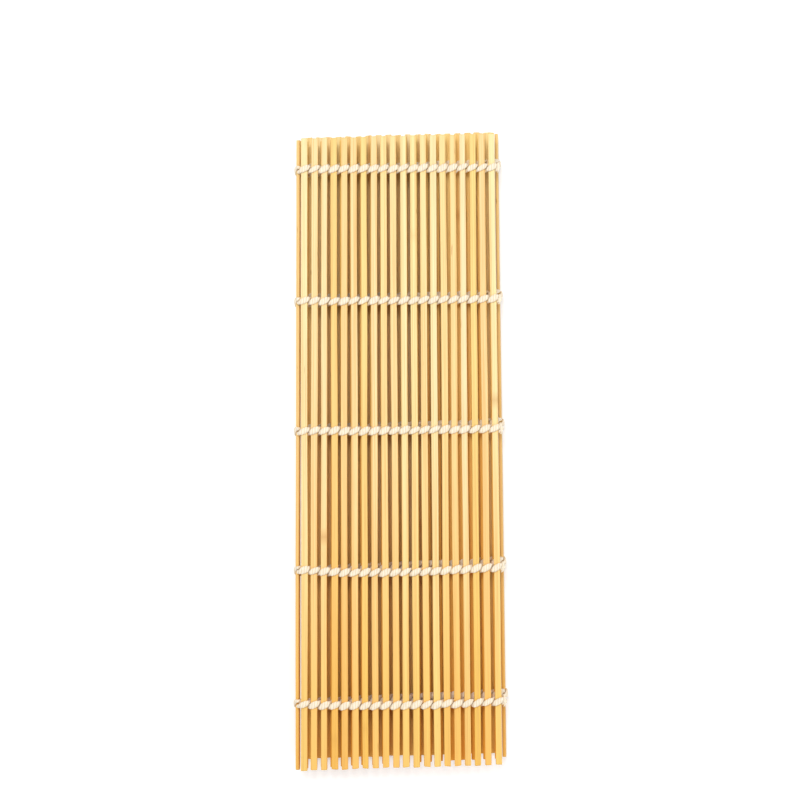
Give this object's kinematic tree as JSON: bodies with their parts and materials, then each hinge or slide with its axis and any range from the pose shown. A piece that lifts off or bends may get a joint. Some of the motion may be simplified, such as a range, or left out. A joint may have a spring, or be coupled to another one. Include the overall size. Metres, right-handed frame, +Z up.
{
  "type": "sushi rolling mat",
  "caption": "Mat of parallel bamboo slats tied by rows of twined cotton cord, folded in three. It opens flat, and its free edge rolls up.",
  "frame": {"origin": "middle of the folded mat's footprint, at the height of the table that it lies on", "axes": "+Y along the slats, +Z up out of the front layer, +X across the slats towards the free edge of the front layer"},
  "size_m": [0.0908, 0.2754, 0.0146],
  "materials": {
    "bamboo": "satin, split bamboo",
    "cotton_cord": "matte, twisted cotton"
  },
  "bodies": {
    "bottom_panel": {"bottom_slats_01": "bamboo", "bottom_slats_02": "bamboo", "bottom_slats_03": "bamboo", "bottom_slats_04": "bamboo", "bottom_slats_05": "bamboo", "bottom_cords": "cotton_cord", "bottom_end_knots": "cotton_cord"},
    "right_fold": {"right_fold_slat": "bamboo", "right_fold_cords": "cotton_cord"},
    "middle_panel": {"middle_slats_01": "bamboo", "middle_slats_02": "bamboo", "middle_slats_03": "bamboo", "middle_slats_04": "bamboo", "middle_slats_05": "bamboo", "middle_cords": "cotton_cord"},
    "left_fold": {"left_fold_slat": "bamboo", "left_fold_cords": "cotton_cord"},
    "top_panel": {"top_slat_01": "bamboo", "top_slat_02": "bamboo", "top_slat_03": "bamboo", "top_slat_04": "bamboo", "top_cords": "cotton_cord"},
    "roll_01": {"roll_slat_01": "bamboo", "roll_cords_01": "cotton_cord"},
    "roll_02": {"roll_slat_02": "bamboo", "roll_cords_02": "cotton_cord"},
    "roll_03": {"roll_slat_03": "bamboo", "roll_cords_03": "cotton_cord"},
    "roll_04": {"roll_slat_04": "bamboo", "roll_cords_04": "cotton_cord"},
    "roll_05": {"roll_slat_05": "bamboo", "roll_cords_05": "cotton_cord"},
    "roll_06": {"roll_slat_06": "bamboo", "roll_cords_06": "cotton_cord"},
    "roll_07": {"roll_slat_07": "bamboo", "roll_cords_07": "cotton_cord"},
    "roll_08": {"roll_slat_08": "bamboo", "roll_cords_08": "cotton_cord"},
    "roll_09": {"roll_slat_09": "bamboo", "roll_cords_09": "cotton_cord"},
    "roll_10": {"roll_slat_10": "bamboo", "roll_cords_10": "cotton_cord"},
    "roll_11": {"roll_slat_11": "bamboo", "roll_cords_11": "cotton_cord"},
    "roll_12": {"roll_slat_12": "bamboo", "roll_cords_12": "cotton_cord"},
    "roll_13": {"roll_slat_13": "bamboo", "roll_cords_13": "cotton_cord"},
    "roll_14": {"roll_slat_14": "bamboo", "roll_cords_14": "cotton_cord"},
    "roll_15": {"roll_slat_15": "bamboo", "roll_cords_15": "cotton_cord"},
    "roll_16": {"roll_slat_16": "bamboo", "roll_cords_16": "cotton_cord", "free_end_knots": "cotton_cord"}
  },
  "joints": [
    {"name": "unfold_right_lower", "type": "hinge", "parent": "bottom_panel", "child": "right_fold", "pos_m": [0.04341, 0, 0.00184], "axis": [0, 1, 0], "range_deg": [0, 90]},
    {"name": "unfold", "type": "hinge", "parent": "right_fold", "child": "middle_panel", "pos_m": [0.04341, 0, 0.00724], "axis": [0, 1, 0], "range_deg": [0, 90]},
    {"name": "unfold_left_lower", "type": "hinge", "parent": "middle_panel", "child": "left_fold", "pos_m": [-0.04341, 0, 0.00724], "axis": [0, -1, 0], "range_deg": [0, 90]},
    {"name": "unfold_left_upper", "type": "hinge", "parent": "left_fold", "child": "top_panel", "pos_m": [-0.04341, 0, 0.01264], "axis": [0, -1, 0], "range_deg": [0, 90]},
    {"name": "roll", "type": "hinge", "parent": "top_panel", "child": "roll_01", "pos_m": [-0.02573, 0, 0.01264], "axis": [0, -1, 0], "range_deg": [0, 18]},
    {"name": "roll_joint_02", "type": "hinge", "parent": "roll_01", "child": "roll_02", "pos_m": [-0.02145, 0, 0.01264], "axis": [0, -1, 0], "range_deg": [0, 18]},
    {"name": "roll_joint_03", "type": "hinge", "parent": "roll_02", "child": "roll_03", "pos_m": [-0.01717, 0, 0.01264], "axis": [0, -1, 0], "range_deg": [0, 18]},
    {"name": "roll_joint_04", "type": "hinge", "parent": "roll_03", "child": "roll_04", "pos_m": [-0.01289, 0, 0.01264], "axis": [0, -1, 0], "range_deg": [0, 18]},
    {"name": "roll_joint_05", "type": "hinge", "parent": "roll_04", "child": "roll_05", "pos_m": [-0.00861, 0, 0.01264], "axis": [0, -1, 0], "range_deg": [0, 18]},
    {"name": "roll_joint_06", "type": "hinge", "parent": "roll_05", "child": "roll_06", "pos_m": [-0.00433, 0, 0.01264], "axis": [0, -1, 0], "range_deg": [0, 18]},
    {"name": "roll_joint_07", "type": "hinge", "parent": "roll_06", "child": "roll_07", "pos_m": [-0.00005, 0, 0.01264], "axis": [0, -1, 0], "range_deg": [0, 18]},
    {"name": "roll_joint_08", "type": "hinge", "parent": "roll_07", "child": "roll_08", "pos_m": [0.00423, 0, 0.01264], "axis": [0, -1, 0], "range_deg": [0, 18]},
    {"name": "roll_joint_09", "type": "hinge", "parent": "roll_08", "child": "roll_09", "pos_m": [0.00851, 0, 0.01264], "axis": [0, -1, 0], "range_deg": [0, 18]},
    {"name": "roll_joint_10", "type": "hinge", "parent": "roll_09", "child": "roll_10", "pos_m": [0.01279, 0, 0.01264], "axis": [0, -1, 0], "range_deg": [0, 18]},
    {"name": "roll_joint_11", "type": "hinge", "parent": "roll_10", "child": "roll_11", "pos_m": [0.01707, 0, 0.01264], "axis": [0, -1, 0], "range_deg": [0, 18]},
    {"name": "roll_joint_12", "type": "hinge", "parent": "roll_11", "child": "roll_12", "pos_m": [0.02135, 0, 0.01264], "axis": [0, -1, 0], "range_deg": [0, 18]},
    {"name": "roll_joint_13", "type": "hinge", "parent": "roll_12", "child": "roll_13", "pos_m": [0.02563, 0, 0.01264], "axis": [0, -1, 0], "range_deg": [0, 18]},
    {"name": "roll_joint_14", "type": "hinge", "parent": "roll_13", "child": "roll_14", "pos_m": [0.02991, 0, 0.01264], "axis": [0, -1, 0], "range_deg": [0, 18]},
    {"name": "roll_joint_15", "type": "hinge", "parent": "roll_14", "child": "roll_15", "pos_m": [0.03419, 0, 0.01264], "axis": [0, -1, 0], "range_deg": [0, 18]},
    {"name": "roll_joint_16", "type": "hinge", "parent": "roll_15", "child": "roll_16", "pos_m": [0.03847, 0, 0.01264], "axis": [0, -1, 0], "range_deg": [0, 18]}
  ],
  "couplings": [
    {"joint": "unfold_right_lower", "follows": "unfold", "ratio": 1},
    {"joint": "unfold_left_lower", "follows": "unfold", "ratio": 1},
    {"joint": "unfold_left_upper", "follows": "unfold", "ratio": 1},
    {"joint": "roll_joint_02", "follows": "roll", "ratio": 1},
    {"joint": "roll_joint_03", "follows": "roll", "ratio": 1},
    {"joint": "roll_joint_04", "follows": "roll", "ratio": 1},
    {"joint": "roll_joint_05", "follows": "roll", "ratio": 1},
    {"joint": "roll_joint_06", "follows": "roll", "ratio": 1},
    {"joint": "roll_joint_07", "follows": "roll", "ratio": 1},
    {"joint": "roll_joint_08", "follows": "roll", "ratio": 1},
    {"joint": "roll_joint_09", "follows": "roll", "ratio": 1},
    {"joint": "roll_joint_10", "follows": "roll", "ratio": 1},
    {"joint": "roll_joint_11", "follows": "roll", "ratio": 1},
    {"joint": "roll_joint_12", "follows": "roll", "ratio": 1},
    {"joint": "roll_joint_13", "follows": "roll", "ratio": 1},
    {"joint": "roll_joint_14", "follows": "roll", "ratio": 1},
    {"joint": "roll_joint_15", "follows": "roll", "ratio": 1},
    {"joint": "roll_joint_16", "follows": "roll", "ratio": 1}
  ]
}
